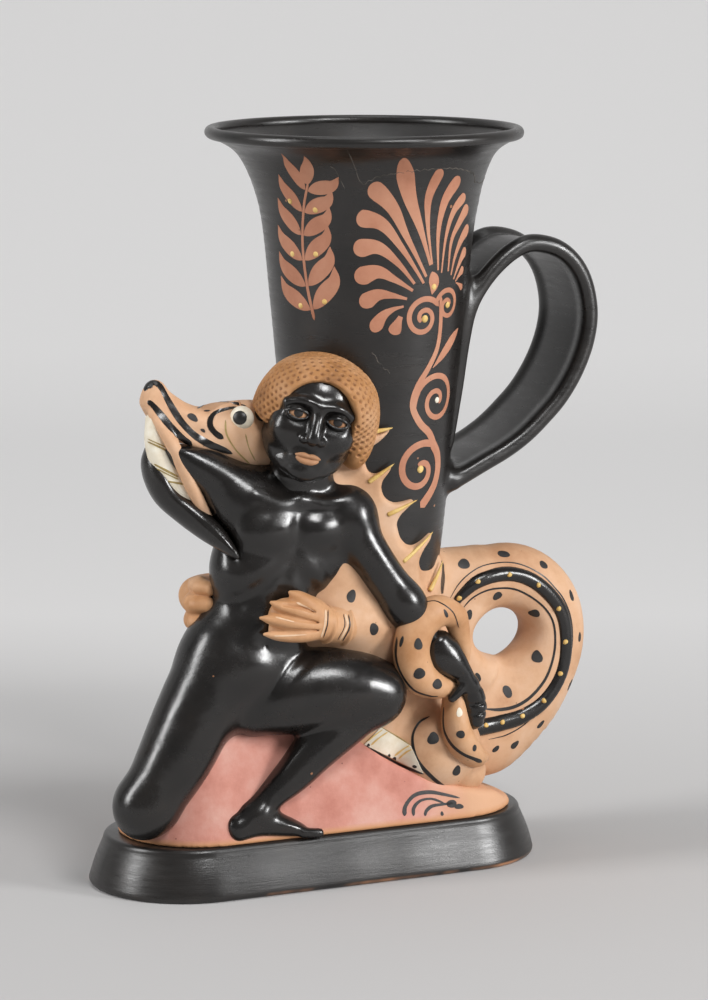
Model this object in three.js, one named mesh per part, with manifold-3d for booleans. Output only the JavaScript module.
// Horn-shaped rhyton: a flaring wheel-thrown beaker with a strap handle, set in a modelled group of a
// crocodile and a kneeling figure on an oblong plinth. Millimetres, +Z up, front towards -Y.
// The origin is under the middle of the plinth, on the surface that it stands on.
import * as THREE from "three";
import { mergeVertices } from "three/addons/utils/BufferGeometryUtils.js";
import Module from "manifold-3d";

const wasm = await Module();
wasm.setup();

// Driving dimensions

const seam = 0.3; // slip seam between two luted pieces

const plinthLength = 150;
const plinthDepth = 61;
const plinthHeight = 16;
const plinthBatter = 4.5; // how far the sloping side leans in
const plinthArris = 1.4; // soft edge, top and bottom

const beakerAxis = 16.8; // beaker's axis, right of the plinth's middle
const beakerHeight = 219; // lip above the plinth
const beakerFoot = 52; // underside of the beaker's floor above the plinth
const beakerWall = 3.6;
const beakerFloor = 5;
const lipRadius = 50.5;
const lipRoll = 1.9; // half the thickness of the rolled lip
const mouthRadius = 39; // where the flare starts under the lip
const throatRadius = 29.5;
const waistRadius = 26.2;
const footRadius = 20;

const handleReach = 94; // outermost point of the loop from the plinth's middle
const handleTop = 183; // crown of the loop above the plinth
const handleRoot = 108; // lower root above the plinth
const handleWidth = 26;
const handleThick = 5;

const groupHeight = 143; // tip of the crocodile's snout above the plinth; the modelled group grows with it

const moundHeight = 44;
const skirtThick = 1.3; // clay spread over the plinth's top round the mound
const moundLength = 116;
const moundDepth = 37;

const coilX = 64.7; // eye of the tail coil
const coilZ = 54.5;
const coilEye = 8.2; // radius of the opening
const coilThick = 10; // half the coil's thickness
const coilBand = 18.5; // width of the tail's band where the coil starts
const coilGrowth = 2.9; // how much wider the band gets in a quarter turn
const rootGrowth = 17; // how fast it swells past rootTurn, towards the tail's root
const rootTurn = 2.05; // quarter turns
const ridgeRadius = 2.6; // glossy ridge along the coil

const headWidth = 31;
const headDepth = 33;
const headHeight = 36;
const hairThick = 4;
const headTurn = -18; // degrees about the vertical, towards the snout
const headTilt = 9; // degrees, crown towards the beaker
const headAt = new THREE.Vector3(-9.2, -21, 134);

const eyeRadius = 4.3;
const spikeRadius = 2;
const sleeveThick = 2.1; // clay of the crocodile's back over the beaker

// Shaping helpers

const v = (x, y, z) => new THREE.Vector3(x, y, z);
const smooth = (points) => new THREE.CatmullRomCurve3(points, false, "catmullrom", 0.5);

function solidOf(geometry) {
  const bare = new THREE.BufferGeometry();
  bare.setAttribute("position", geometry.getAttribute("position"));
  if (geometry.index) bare.setIndex(geometry.index);
  const merged = mergeVertices(bare, 1e-4);
  const positions = merged.getAttribute("position").array;
  const corners = new Uint32Array(merged.index.array);
  const make = () => new wasm.Manifold(
    new wasm.Mesh({ numProp: 3, vertProperties: positions, triVerts: corners }));
  const made = make();
  if (made.volume() > 0) return made;
  for (let i = 0; i < corners.length; i += 3) {
    [corners[i + 1], corners[i + 2]] = [corners[i + 2], corners[i + 1]];
  }
  return make();
}

function geometryOf(solid) {
  const mesh = solid.getMesh();
  const positions = new Float32Array(mesh.numVert * 3);
  for (let i = 0; i < mesh.numVert; i++) {
    positions.set(mesh.vertProperties.subarray(i * mesh.numProp, i * mesh.numProp + 3), i * 3);
  }
  const geometry = new THREE.BufferGeometry();
  geometry.setAttribute("position", new THREE.BufferAttribute(positions, 3));
  geometry.setIndex(new THREE.BufferAttribute(mesh.triVerts, 1));
  return geometry;
}

// A skin over a stack of rings, closed by a point beyond each end.
function skin(rings, first, last) {
  const sides = rings[0].length;
  const points = [first, ...rings.flat(), last];
  const corners = [];
  const at = (ring, side) => 1 + ring * sides + (side % sides);
  for (let s = 0; s < sides; s++) {
    corners.push(0, at(0, s + 1), at(0, s));
    for (let r = 0; r + 1 < rings.length; r++) {
      corners.push(at(r, s), at(r, s + 1), at(r + 1, s + 1), at(r, s), at(r + 1, s + 1), at(r + 1, s));
    }
    corners.push(points.length - 1, at(rings.length - 1, s), at(rings.length - 1, s + 1));
  }
  const geometry = new THREE.BufferGeometry().setFromPoints(points);
  geometry.setIndex(corners);
  return solidOf(geometry);
}

// A limb: oval rings along a smooth path with round ends. A station is [x, y, z, half width, half height];
// the width lies along `across`. `grow` fattens the whole limb, for the seat it leaves in its neighbour.
function limb(stations, { across = v(0, 1, 0), sides = 10, steps = 2, round = 0.8, grow = 0 } = {}) {
  const path = smooth(stations.map(([x, y, z]) => v(x, y, z)));
  const size = smooth(stations.map(([, , , a, b]) => v(a, b, 0)));
  const ring = (t, shift, share) => {
    const along = path.getTangent(t);
    const wide = across.clone().addScaledVector(along, -across.dot(along)).normalize();
    const high = along.clone().cross(wide);
    const middle = path.getPoint(t).addScaledVector(along, shift);
    const { x: a, y: b } = size.getPoint(t);
    return Array.from({ length: sides }, (_, i) => {
      const angle = (2 * Math.PI * i) / sides;
      return middle.clone()
        .addScaledVector(wide, Math.cos(angle) * (a + grow) * share)
        .addScaledVector(high, Math.sin(angle) * (b + grow) * share);
    });
  };
  const depth = (t) => Math.min(size.getPoint(t).x, size.getPoint(t).y) * round + grow;
  const pole = (t, way) => path.getPoint(t).addScaledVector(path.getTangent(t), way * depth(t));
  const capShares = [[0.66, 0.75]];
  const rings = capShares.map(([far, share]) => ring(0, -far * depth(0), share));
  const count = (stations.length - 1) * steps;
  for (let i = 0; i <= count; i++) rings.push(ring(i / count, 0, 1));
  rings.push(...capShares.map(([far, share]) => ring(1, far * depth(1), share)).reverse());
  return skin(rings, pole(0, -1), pole(1, 1));
}

// A rounded mass: level ovals stacked upwards. A station is [x, y, z, half length, half depth].
function mass(stations, grow = 0, sides = 20) {
  const top = stations.length - 1;
  const spread = (i) => (i === 0 ? -grow : i === top ? grow : 0);
  const rings = stations.map(([x, y, z, a, b], i) => Array.from({ length: sides }, (_, s) => {
    const angle = (2 * Math.PI * s) / sides;
    return v(x + Math.cos(angle) * (a + grow), y + Math.sin(angle) * (b + grow), z + spread(i));
  }));
  const pole = (i) => v(stations[i][0], stations[i][1], stations[i][2] + spread(i));
  return skin(rings, pole(0), pole(top));
}

function ball(centre, a, b = a, c = a, grow = 0, detail = 10) {
  const geometry = new THREE.SphereGeometry(1, detail, Math.round(detail * 0.7));
  geometry.scale(a + grow, b + grow, c + grow);
  geometry.translate(centre.x, centre.y, centre.z);
  return solidOf(geometry);
}

// Stations of a modelled member, drawn for a group of the height groupDrawn.
const groupDrawn = 143;
const groupScale = groupHeight / groupDrawn;
const modelled = (stations) => stations.map((station) => station.map((size) => size * groupScale));

const join = (...solids) => solids.reduce((whole, next) => whole.add(next));

// Plinth: a stadium-shaped slab with battered sides and soft edges

function stadiumRing(length, depth, z, arcSteps = 10) {
  const radius = depth / 2;
  const points = [];
  for (const [middle, from] of [[length / 2 - radius, -90], [radius - length / 2, 90]]) {
    for (let i = 0; i <= arcSteps; i++) {
      const angle = THREE.MathUtils.degToRad(from + (180 * i) / arcSteps);
      points.push(v(middle + radius * Math.cos(angle), radius * Math.sin(angle), z));
    }
  }
  return points;
}

function plinthForm() {
  const ring = (inset, z) => stadiumRing(plinthLength - 2 * inset, plinthDepth - 2 * inset, z);
  return skin([
    ring(plinthArris, 0),
    ring(0.25 * plinthArris, 0.4 * plinthArris),
    ring(0, plinthArris),
    ring(plinthBatter - plinthArris, plinthHeight - 1.6 * plinthArris),
    ring(plinthBatter - 0.3 * plinthArris, plinthHeight - 0.5 * plinthArris),
    ring(plinthBatter + 0.7 * plinthArris, plinthHeight),
  ], v(0, 0, 0), v(0, 0, plinthHeight));
}

// Beaker: a thrown horn with a rolled lip, closed by its own floor inside the group

function beakerOutline() {
  const throat = 0.75 * beakerHeight;
  return smooth([
    v(footRadius, beakerFoot, 0),
    v((footRadius + waistRadius) / 2 + 1, (beakerFoot + throat) / 2 - 24, 0),
    v(waistRadius, 0.56 * beakerHeight, 0),
    v(throatRadius, throat, 0),
    v((throatRadius + mouthRadius) / 2 - 1.6, 0.88 * beakerHeight, 0),
    v(mouthRadius, 0.957 * beakerHeight, 0),
    v(lipRadius - lipRoll, beakerHeight - 1.6 * lipRoll, 0),
  ]);
}

function lathe(profile, sides = 28) {
  const geometry = new THREE.LatheGeometry(profile.map((p) => new THREE.Vector2(p.x, p.y)), sides);
  geometry.rotateX(Math.PI / 2);
  geometry.translate(beakerAxis, 0, 0);
  return solidOf(geometry);
}

function beakerForm(grow) {
  const outside = beakerOutline().getPoints(9).map((p) => new THREE.Vector2(p.x + grow, p.y));
  const lip = [-60, 0, 60, 120, 180].map((degrees) => {
    const angle = THREE.MathUtils.degToRad(degrees);
    return new THREE.Vector2(lipRadius - lipRoll + (lipRoll + grow) * Math.cos(angle),
      beakerHeight - lipRoll + (lipRoll + grow) * Math.sin(angle));
  });
  const underside = new THREE.Vector2(0, beakerFoot - grow);
  const heel = new THREE.Vector2(footRadius + grow, beakerFoot - grow);
  if (grow > 0) { // the seat is a plain plug
    return lathe([underside, heel, ...outside, ...lip, new THREE.Vector2(0, beakerHeight)]);
  }
  const inside = beakerOutline().getPoints(8)
    .map((p) => new THREE.Vector2(p.x - beakerWall, p.y))
    .filter((p) => p.y > beakerFoot + beakerFloor && p.y < beakerHeight - 2.5 * lipRoll)
    .reverse();
  const floorEdge = new THREE.Vector2(footRadius - beakerWall, beakerFoot + beakerFloor);
  const floorMiddle = new THREE.Vector2(0, beakerFoot + beakerFloor);
  return lathe([underside, ...outside, ...lip, ...inside, floorEdge, floorMiddle]);
}

function beakerRadiusAt(z) {
  return beakerOutline().getPoints(60).reduce((best, p) =>
    (Math.abs(p.y - z) < Math.abs(best.y - z) ? p : best)).x;
}

// Handle: a strap with rolled edges, bent to a loop and spread at its roots

function handleForm(grow) {
  const rise = handleTop - handleRoot;
  const inner = (z) => beakerAxis + beakerRadiusAt(z) - beakerWall;
  const half = handleThick / 2;
  const reach = handleReach - half;
  const stations = [
    [inner(handleTop - 0.16 * rise), 0, handleTop - 0.16 * rise, 1.3 * handleWidth],
    [beakerAxis + throatRadius + 6, 0, handleTop - 0.06 * rise, 1.12 * handleWidth],
    [0.25 * beakerAxis + 0.73 * reach, 0, handleTop - half, handleWidth],
    [reach - 0.055 * reach, 0, handleTop - 0.18 * rise, handleWidth],
    [reach, 0, handleTop - 0.4 * rise, handleWidth],
    [reach - 0.07 * reach, 0, handleTop - 0.62 * rise, handleWidth],
    [0.78 * reach, 0, handleRoot + 0.18 * rise, handleWidth],
    [beakerAxis + waistRadius + 6, 0, handleRoot + 0.03 * rise, 1.1 * handleWidth],
    [inner(handleRoot), 0, handleRoot - 0.02 * rise, 1.25 * handleWidth],
  ];
  const path = smooth(stations.map(([x, y, z]) => v(x, y, z)));
  const width = smooth(stations.map((station) => v(station[3], 0, 0)));
  const section = [[-1, 0], [-0.93, 1], [-0.7, 0.95], [0, 0.62], [0.7, 0.95], [0.93, 1],
    [1, 0], [0.93, -1], [0.7, -1], [0, -1], [-0.7, -1], [-0.93, -1]];
  const count = 20;
  const rings = Array.from({ length: count + 1 }, (_, i) => {
    const t = i / count;
    const middle = path.getPoint(t);
    const out = path.getTangent(t).cross(v(0, 1, 0)).negate();
    return section.map(([across, through]) => middle.clone()
      .addScaledVector(v(0, 1, 0), across * (width.getPoint(t).x / 2 + grow))
      .addScaledVector(out, through * (half + grow)));
  });
  return skin(rings, path.getPoint(0), path.getPoint(1));
}

// Crocodile

const backSlope = THREE.MathUtils.degToRad(63); // lean of the edge of its back across the beaker
const backEdge = -2; // where that edge crosses the beaker's axis
const backHeight = 112 * groupScale; // how high above the plinth it crosses
const sleeveLevels = [56, 74, 92, 110, 119].map((z) => z * groupScale);
const sleeveTop = 125 * groupScale;

// The mound: a long lump, highest under the figure's seat and low at the tail, with a thin skirt of clay
// spread from it over the plinth's top.
function moundForm(grow) {
  const half = moundLength / 2;
  const deep = moundDepth / 2;
  const lump = limb([
    [-half, 0, 0.07 * moundHeight, 0.81 * deep, 0.16 * moundHeight],
    [-0.83 * half, 0, 0.27 * moundHeight, 0.92 * deep, 0.3 * moundHeight],
    [-0.62 * half, 0, 0.45 * moundHeight, 0.96 * deep, 0.45 * moundHeight],
    [-0.34 * half, 0, 0.52 * moundHeight, 0.97 * deep, 0.48 * moundHeight],
    [0, 0, 0.41 * moundHeight, 0.98 * deep, 0.36 * moundHeight],
    [0.34 * half, 0, 0.27 * moundHeight, 0.98 * deep, 0.27 * moundHeight],
    [0.69 * half, 0, 0.17 * moundHeight, 0.95 * deep, 0.23 * moundHeight],
    [0.97 * half, 0, 0.07 * moundHeight, 0.84 * deep, 0.15 * moundHeight],
  ], { sides: 14, steps: 1, grow });
  const inset = plinthBatter + plinthArris;
  const ring = (back, z) => stadiumRing(
    plinthLength - 2 * (inset + back - grow), plinthDepth - 2 * (inset + back - grow), z);
  const skirt = skin([ring(0, seam - grow), ring(0, 0.6 * skirtThick), ring(0.8, skirtThick + grow)],
    v(0, 0, seam - grow), v(0, 0, skirtThick + grow));
  return join(lump, skirt);
}

// The body, and the thin sleeve of clay by which its back climbs round the beaker to a slanting edge.
function crocBodyForm(grow) {
  const trunk = mass(modelled([
    [16, 0, 14, 29, 14.5],
    [14, 0, 30, 34, 19],
    [12, 0, 46, 35.5, 22.5],
    [9, 0, 66, 36, 25.2],
    [6, 0, 84, 34, 26.4],
    [1, -1, 100, 28, 25],
    [-8, -2, 114, 20, 19],
    [-14, -3, 124, 12, 12],
  ]), grow);
  const sleeve = lathe([
    [0, sleeveLevels[0] - grow],
    ...sleeveLevels.map((z) => [beakerRadiusAt(z) + sleeveThick + grow, z]),
    [beakerRadiusAt(sleeveTop) - 1, sleeveTop + grow],
    [0, sleeveTop + grow],
  ].map(([x, y]) => new THREE.Vector2(x, y)));
  const behind = new THREE.BoxGeometry(beakerHeight, beakerHeight, beakerHeight);
  behind.translate(0, 0, beakerHeight / 2 + grow);
  behind.rotateY(backSlope);
  behind.translate(beakerAxis + backEdge, 0, backHeight);
  return join(trunk, sleeve.subtract(solidOf(behind)));
}

const skullForm = (grow) => limb(modelled([
  [-13, -4, 121, 12, 11],
  [-24, -6, 124.5, 12.5, 12],
  [-32, -7, 126.5, 12, 11],
  [-37, -7, 128, 10, 8.5],
]), { grow });

const jawMiddle = -6; // plane of the snout
const acrossJaw = (stations) => stations.map(([x, y, ...rest]) => [x, 2 * jawMiddle - y, ...rest]);

// The snout with its lips, near and far.
function upperJawForm(grow) {
  const snout = limb(modelled([
    [-34, -7, 127.5, 10, 7.6],
    [-41, -6.5, 129.5, 9, 5.2],
    [-48, -6, 132.5, 8, 4.4],
    [-54, -5.5, 136.8, 6.6, 4.2],
    [-57.2, -5, 139.6, 5.4, 3.8],
  ]), { steps: 1, grow });
  const lip = [
    [-59, -8.2, 136.6, 2, 2.4],
    [-51, -12, 128.8, 2.4, 2.8],
    [-46, -12.8, 125.6, 2.6, 3],
    [-40, -13.2, 124.2, 2.8, 3],
    [-30, -13.2, 121, 3, 3],
  ];
  const lips = [lip, acrossJaw(lip)].map((stations) =>
    limb(modelled(stations), { sides: 7, steps: 1, grow }));
  return join(snout, ...lips);
}

const lowerJawForm = (grow) => limb(modelled([
  [-34, -9, 97, 7, 5],
  [-41.5, -8, 100.5, 7.5, 4.5],
  [-48, -7.5, 104, 7.5, 4.5],
  [-53.6, -7, 108.8, 7, 4.2],
  [-57.2, -6.5, 114.5, 6.5, 3.8],
  [-58.6, -5, 122.5, 4.6, 2.4],
]), { grow });

const toothRowForm = (grow) => limb(modelled([
  [-43, -10.5, 101.5, 4.2, 2.6],
  [-47.5, -10, 106.5, 5, 4.2],
  [-54, -8.8, 115.5, 5.4, 4.8],
  [-58.2, -8.2, 124, 5.2, 4.2],
  [-60, -7.6, 132.5, 4.6, 2.4],
]), { steps: 1, grow });

const crocEyeForm = (side) => (grow) => ball(v(-33, -7 + side * 8.5, 132.2).multiplyScalar(groupScale),
  eyeRadius, eyeRadius, eyeRadius, grow);

function pawForm(wrist, palm, tips, toeRadius, grow) {
  const arm = limb(modelled([[...wrist, 7.2, 6.4], [...palm, 8, 5.2]]), { grow });
  const toe = (tip) => limb(modelled([
    [...palm, toeRadius, toeRadius * 1.25],
    [...tip, toeRadius * 0.72, toeRadius * 0.7],
  ]), { grow, sides: 7, steps: 1 });
  return join(arm, ...tips.map(toe));
}

const nearPawForm = (grow) => pawForm([4, -23, 66], [-10, -27.5, 68.5],
  [[-18.5, -30.5, 78], [-25, -30.5, 75.5], [-28.5, -30, 72], [-27, -30, 67]], 3.8, grow);

const farPawForm = (grow) => pawForm([-22, 15, 72], [-39, 3, 74],
  [[-42, -9, 79], [-43.5, -10, 74], [-43.5, -10, 68.5]], 4.4, grow);

const hindThighForm = (grow) => limb(modelled([
  [45, -12, 15, 11.5, 10],
  [38, -13, 20, 13, 13.5],
  [33, -13.5, 24, 12.5, 11.5],
]), { grow });

const hindFootForm = (grow) => pawForm([38, -20, 7], [31, -22, 4.5],
  [[22, -22.5, 7], [21, -24, 3.6], [24, -25, 1.8]], 2.4, grow);

// The tail's spiral seen along Y: the band winds round the eye, over the top and down the right, and widens
// towards its root. A shorter arc closes the ring on the left.
const coilStart = 165; // degrees, where the tail leaves the group at the beaker
const coilTurn = 265;
function coilStation(degrees, band) {
  const angle = THREE.MathUtils.degToRad(degrees);
  const radius = coilEye - 1 + band / 2;
  return [coilX + radius * Math.cos(angle), 0, coilZ + radius * Math.sin(angle), coilThick, band / 2];
}
const coilSpiral = Array.from({ length: 10 }, (_, i) => {
  const quarters = (coilTurn * i) / 9 / 90;
  return coilStation(coilStart - 90 * quarters, coilBand + coilGrowth * quarters
    + rootGrowth * Math.max(0, quarters - rootTurn) ** 2);
});
const tailRoot = [coilX - 19, 0, coilZ - 30, 1.1 * coilThick, 16.5];
const coilClosing = [145, 180, 215, 245].map((degrees) => coilStation(degrees, coilBand));
const coilForm = (grow) => join(
  limb([...coilSpiral, tailRoot], { sides: 12, round: 0.3, grow }),
  limb(coilClosing, { sides: 12, round: 0.3, grow }),
);

const ridgeForm = (grow) => limb(coilSpiral.slice(1).map(([x, , z, thick]) =>
  [x, -thick + 0.3, z, ridgeRadius, ridgeRadius]), { sides: 6, grow });

// The tail's end wraps round the forearm, and the hand holds its tip.
const tailLoopForm = (grow) => limb(modelled([
  [38, -20.5, 65.5, 5, 4.4],
  [29, -27.6, 70, 5.6, 4.8],
  [22, -29.6, 66, 6, 5.6],
  [20.5, -30, 57.5, 6, 6.2],
  [23.4, -29.2, 48.5, 6, 6],
  [31, -27, 43.5, 5.4, 5],
  [36, -24, 43, 4.4, 4],
]), { grow });

const tailTipForm = (grow) => limb(modelled([
  [36.6, -25.4, 39, 4.2, 3.4],
  [36.8, -26.4, 32.5, 5.2, 4.4],
  [39.4, -25.4, 25.4, 5.8, 5.2],
  [45.5, -21.6, 19.6, 5.4, 5],
  [51, -16, 17.4, 4, 4],
]), { steps: 1, grow });

// Spikes along the crocodile's back, lying on the beaker. Each runs from a root to a tip, both given as
// degrees round the beaker from its front and height above the plinth.
const spikes = [
  [[-17, 123], [-3, 128]],
  [[-20, 110], [-3, 117]],
  [[-5, 99.5], [19, 105]],
  [[10, 85.5], [42, 93]],
  [[36, 74], [48, 83.5]],
];
const spikeForm = ([root, tip]) => (grow) => {
  const on = (share, width) => {
    const z = (root[1] + (tip[1] - root[1]) * share) * groupScale;
    const angle = THREE.MathUtils.degToRad(root[0] + (tip[0] - root[0]) * share);
    const radius = beakerRadiusAt(z) + sleeveThick * (1 - 0.75 * share);
    return [beakerAxis + radius * Math.sin(angle), -radius * Math.cos(angle), z, width, 0.8 * width];
  };
  const taper = [[0, 1], [0.35, 0.9], [0.7, 0.6], [1, 0.35]];
  return limb(taper.map(([share, width]) => on(share, width * spikeRadius)),
    { across: v(0, 0, 1), sides: 8, steps: 1, grow });
};

// Kneeling figure

const torsoForm = (grow) => limb(modelled([
  [-32, -13, 42, 15, 12],
  [-31.5, -14.5, 54, 18.5, 14],
  [-29, -14.5, 63, 17, 13.5],
  [-25, -14.5, 72, 16, 13.2],
  [-22, -15, 86, 18.8, 13.8],
  [-18, -15.5, 99, 19.8, 13],
  [-13.5, -14, 108, 13, 9.5],
  [-11.5, -16, 116, 8.5, 8],
]), { across: v(1, 0, 0), sides: 14, steps: 1, grow });

const raisedArmForm = (grow) => limb(modelled([
  [-22, -15, 101, 12, 12],
  [-31, -14, 109, 11.5, 11],
  [-41, -12.5, 115.5, 8.8, 7.2],
  [-48.5, -11.5, 120.4, 6.6, 5.4],
  [-54, -10.5, 126.8, 4.6, 3.6],
]), { steps: 1, grow });

const loweredArmForm = (grow) => limb(modelled([
  [-4, -17, 102, 9, 9],
  [1.5, -21, 98, 8.8, 8.6],
  [6, -24.5, 90, 7.4, 7.2],
  [12.5, -26.5, 80, 6.8, 6.6],
  [19.5, -27, 70.5, 6.8, 6.8],
  [25, -25.5, 62, 6, 6],
]), { steps: 1, grow });

// The forearm comes out through the loop of the tail and ends in the closed hand.
function gripHandForm(grow) {
  const hand = limb(modelled([
    [29, -29, 58.5, 4.8, 5],
    [34.5, -29.4, 53, 4.3, 3.9],
    [38, -29, 48.6, 3.6, 3.1],
    [41.4, -28, 42, 4, 4],
    [43, -27.4, 36, 4.4, 4.2],
    [42.4, -26.4, 31.6, 3, 2.8],
  ]), { steps: 1, grow });
  const thumb = limb(modelled([
    [38.6, -30.2, 46.4, 2, 2],
    [33.4, -30.6, 41, 1.6, 1.6],
  ]), { sides: 8, grow });
  return join(hand, thumb);
}

// The kneeling leg keeps to the mound's left end.
const kneeShift = 58 - moundLength / 2;

const kneelingThighForm = (grow) => limb(modelled([
  [-36, -14, 58, 13.5, 13.5],
  [-45.5, -14.5, 43.5, 13, 12.6],
  [-54 + 0.5 * kneeShift, -14.5, 27.5, 12, 11.6],
  [-62.5 + kneeShift, -13.5, 13.5, 10.2, 10.2],
]), { sides: 12, steps: 1, grow });

const kneelingShinForm = (grow) => limb(modelled([
  [-60 + kneeShift, -6, 10, 8.5, 8.5],
  [-53 + kneeShift, 6, 10.5, 8.6, 8.6],
  [-45 + kneeShift, 15, 9, 6, 6.4],
  [-40 + kneeShift, 19, 8, 5, 5.6],
]), { across: v(1, 0, 0), grow });

const kneelingFootForm = (grow) => limb(modelled([
  [-37 + kneeShift, 20.5, 7, 5.2, 5.2],
  [-30 + kneeShift, 22.5, 5, 4.8, 4.4],
  [-22 + kneeShift, 23, 3.4, 4.6, 2.8],
]), { grow });

const bentThighForm = (grow) => limb(modelled([
  [-28, -17.5, 42, 9.5, 10],
  [-20, -20, 45, 11.5, 12.5],
  [-8, -22.5, 46.5, 12, 13.2],
  [3, -24.5, 45.5, 11.4, 12.2],
  [10, -25, 43.8, 9.8, 10.8],
]), { sides: 12, steps: 1, grow });

const bentShinForm = (grow) => limb(modelled([
  [7.5, -25.5, 37, 8.6, 8.6],
  [-1, -25, 32.5, 8.4, 8.4],
  [-10.2, -24.2, 26.8, 7.4, 7.4],
  [-18.5, -23.4, 19.4, 5.9, 5.9],
  [-29, -22.2, 11, 4.4, 4.4],
]), { steps: 1, grow });

const bentFootForm = (grow) => limb(modelled([
  [-35.5, -21.8, 5.1, 4.5, 4.8],
  [-29, -21.8, 6.2, 4.4, 5],
  [-21, -22, 4.2, 4.8, 3.4],
  [-12.5, -22, 2.3, 4.6, 1.9],
]), { grow });

// The head is modelled upright in its own frame, facing -Y, then turned and tilted into place.
function placeHead(solid) {
  const turn = new THREE.Matrix4().makeRotationZ(THREE.MathUtils.degToRad(headTurn));
  const tilt = new THREE.Matrix4().makeRotationY(THREE.MathUtils.degToRad(headTilt));
  const place = headAt.clone().multiplyScalar(groupScale);
  const pose = new THREE.Matrix4().makeTranslation(place).multiply(turn).multiply(tilt);
  return solid.transform(pose.elements);
}

function headForm(grow) {
  const w = headWidth / 2;
  const d = headDepth / 2;
  const h = headHeight / 2;
  const skull = limb([
    [0, -0.3 * d, -0.86 * h, 0.42 * w, 0.4 * d],
    [0, -0.2 * d, -0.6 * h, 0.72 * w, 0.72 * d],
    [0, -0.06 * d, -0.2 * h, 0.92 * w, 0.9 * d],
    [0, 0, 0.25 * h, 0.98 * w, 0.97 * d],
    [0, 0.04 * d, 0.62 * h, 0.8 * w, 0.82 * d],
  ], { across: v(1, 0, 0), sides: 12, steps: 1, round: 0.62, grow });
  const nose = limb([
    [0, -0.93 * d, 0.06 * h, 0.09 * w, 0.08 * d],
    [0, -1.06 * d, -0.24 * h, 0.15 * w, 0.13 * d],
  ], { across: v(1, 0, 0), sides: 8, steps: 1, grow });
  const lips = limb([
    [-0.22 * w, -0.86 * d, -0.5 * h, 0.07 * h, 0.1 * d],
    [0, -0.92 * d, -0.5 * h, 0.1 * h, 0.12 * d],
    [0.22 * w, -0.86 * d, -0.5 * h, 0.07 * h, 0.1 * d],
  ], { across: v(0, 0, 1), sides: 8, steps: 1, grow });
  const neck = limb([
    [0, 0.05 * d, -0.6 * h, 0.5 * w, 0.5 * d],
    [0, 0.1 * d, -1.15 * h, 0.52 * w, 0.52 * d],
  ], { across: v(1, 0, 0), sides: 12, steps: 1, grow });
  return placeHead(join(skull, nose, lips, neck));
}

function hairForm(grow) {
  const w = headWidth / 2 + hairThick;
  const d = headDepth / 2 + hairThick;
  const h = headHeight / 2 + hairThick;
  const cap = ball(v(0, 1, 0.08 * h), w, d, 0.82 * h, grow, 14);
  const window = limb([
    [0, -2 * d, -0.22 * h, 0.66 * w, 0.72 * h],
    [0, -0.3 * d, -0.22 * h, 0.7 * w, 0.76 * h],
  ], { across: v(1, 0, 0), sides: 16, steps: 1, round: 0.1, grow: -grow });
  const below = limb([
    [0, 0, -1.9 * h, 2 * w, 2 * d],
    [0, 0, -0.5 * h, 2 * w, 2 * d],
  ], { across: v(1, 0, 0), sides: 8, steps: 1, round: 0.02, grow: -grow });
  return placeHead(cap.subtract(window).subtract(below));
}

// Laying up: each piece is trimmed to the pieces laid before it, less the seam

const paint = {
  blackGloss: { color: 0x14110f, roughness: 0.22 },
  tanClay: { color: 0xc98f62, roughness: 0.62 },
  pinkClay: { color: 0xb8604f, roughness: 0.8 },
  hairClay: { color: 0xa8743f, roughness: 0.75 },
  whiteSlip: { color: 0xe6dfc9, roughness: 0.6 },
  yellowSlip: { color: 0xd9b25c, roughness: 0.6 },
};

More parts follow.
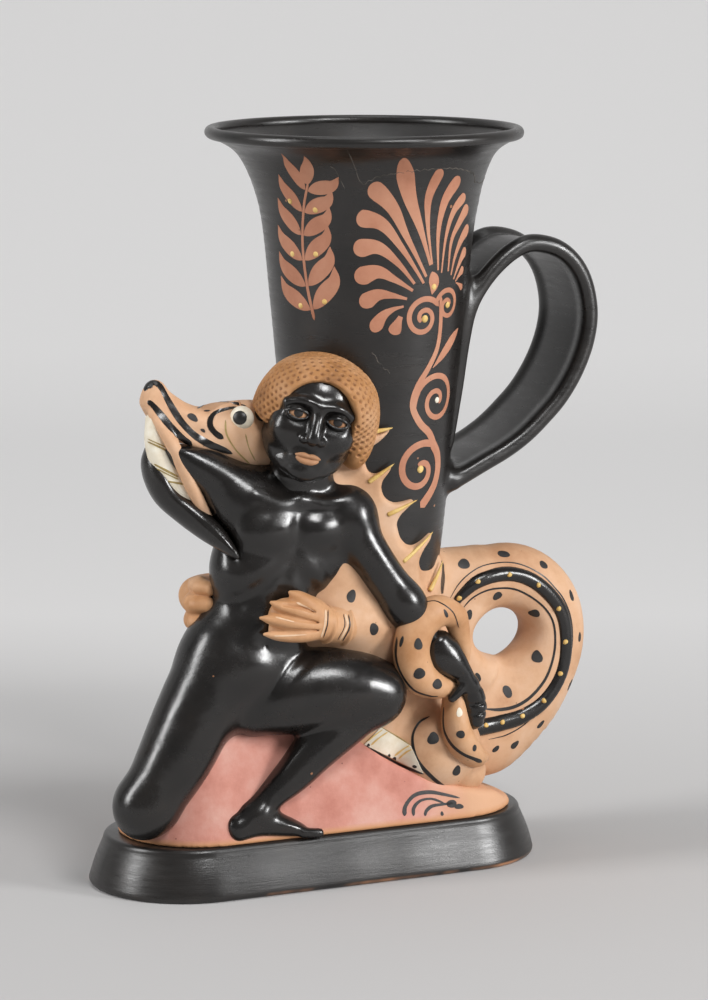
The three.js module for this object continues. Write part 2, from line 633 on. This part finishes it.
const recipe = [
  ["ground_mound", moundForm, "pinkClay"],
  ["beaker", beakerForm, "blackGloss"],
  ["crocodile_body", crocBodyForm, "tanClay"],
  ["handle_strap", handleForm, "blackGloss"],
  ["crocodile_skull", skullForm, "tanClay"],
  ["crocodile_upper_jaw", upperJawForm, "tanClay"],
  ["crocodile_lower_jaw", lowerJawForm, "blackGloss"],
  ["tail_coil", coilForm, "tanClay"],
  ["figure_torso", torsoForm, "blackGloss"],
  ["figure_head", headForm, "blackGloss"],
  ["figure_hair", hairForm, "hairClay"],
  ["figure_raised_arm", raisedArmForm, "blackGloss"],
  ["figure_kneeling_thigh", kneelingThighForm, "blackGloss"],
  ["figure_kneeling_shin", kneelingShinForm, "blackGloss"],
  ["figure_kneeling_foot", kneelingFootForm, "blackGloss"],
  ["figure_bent_thigh", bentThighForm, "blackGloss"],
  ["figure_bent_shin", bentShinForm, "blackGloss"],
  ["figure_bent_foot", bentFootForm, "blackGloss"],
  ["tail_loop", tailLoopForm, "tanClay"],
  ["figure_lowered_arm", loweredArmForm, "blackGloss"],
  ["crocodile_tooth_row", toothRowForm, "whiteSlip"],
  ["crocodile_eye_near", crocEyeForm(-1), "whiteSlip"],
  ["crocodile_eye_far", crocEyeForm(1), "whiteSlip"],
  ["crocodile_near_paw", nearPawForm, "tanClay"],
  ["crocodile_far_paw", farPawForm, "tanClay"],
  ["crocodile_hind_thigh", hindThighForm, "tanClay"],
  ["crocodile_hind_foot", hindFootForm, "tanClay"],
  ["figure_grip_hand", gripHandForm, "blackGloss"],
  ["tail_tip", tailTipForm, "tanClay"],
  ["tail_ridge", ridgeForm, "blackGloss"],
  ...spikes.map((ends, i) => [`dorsal_spike_${i + 1}`, spikeForm(ends), "yellowSlip"]),
];

const largest = (solid) => solid.decompose().reduce((a, b) => (a.volume() > b.volume() ? a : b));
const belowPlinth = new THREE.BoxGeometry(2 * plinthLength, 4 * plinthDepth, plinthHeight);
belowPlinth.translate(0, 0, seam - plinthHeight / 2);
const ground = solidOf(belowPlinth);

function nodeOf(name, solid, finish) {
  const geometry = geometryOf(solid);
  geometry.computeVertexNormals();
  const node = new THREE.Mesh(geometry, new THREE.MeshStandardMaterial({ metalness: 0, ...paint[finish] }));
  node.name = name;
  return node;
}

const rhyton = new THREE.Group();
rhyton.add(nodeOf("plinth", plinthForm(), "blackGloss"));

const onPlinth = new THREE.Group();
onPlinth.position.z = plinthHeight;
rhyton.add(onPlinth);

const seats = [];
for (const [name, form, finish] of recipe) {
  const trimmed = seats.reduce((piece, seat) => piece.subtract(seat), form(0).subtract(ground));
  onPlinth.add(nodeOf(name, largest(trimmed), finish));
  seats.push(form(seam));
}

export default rhyton;
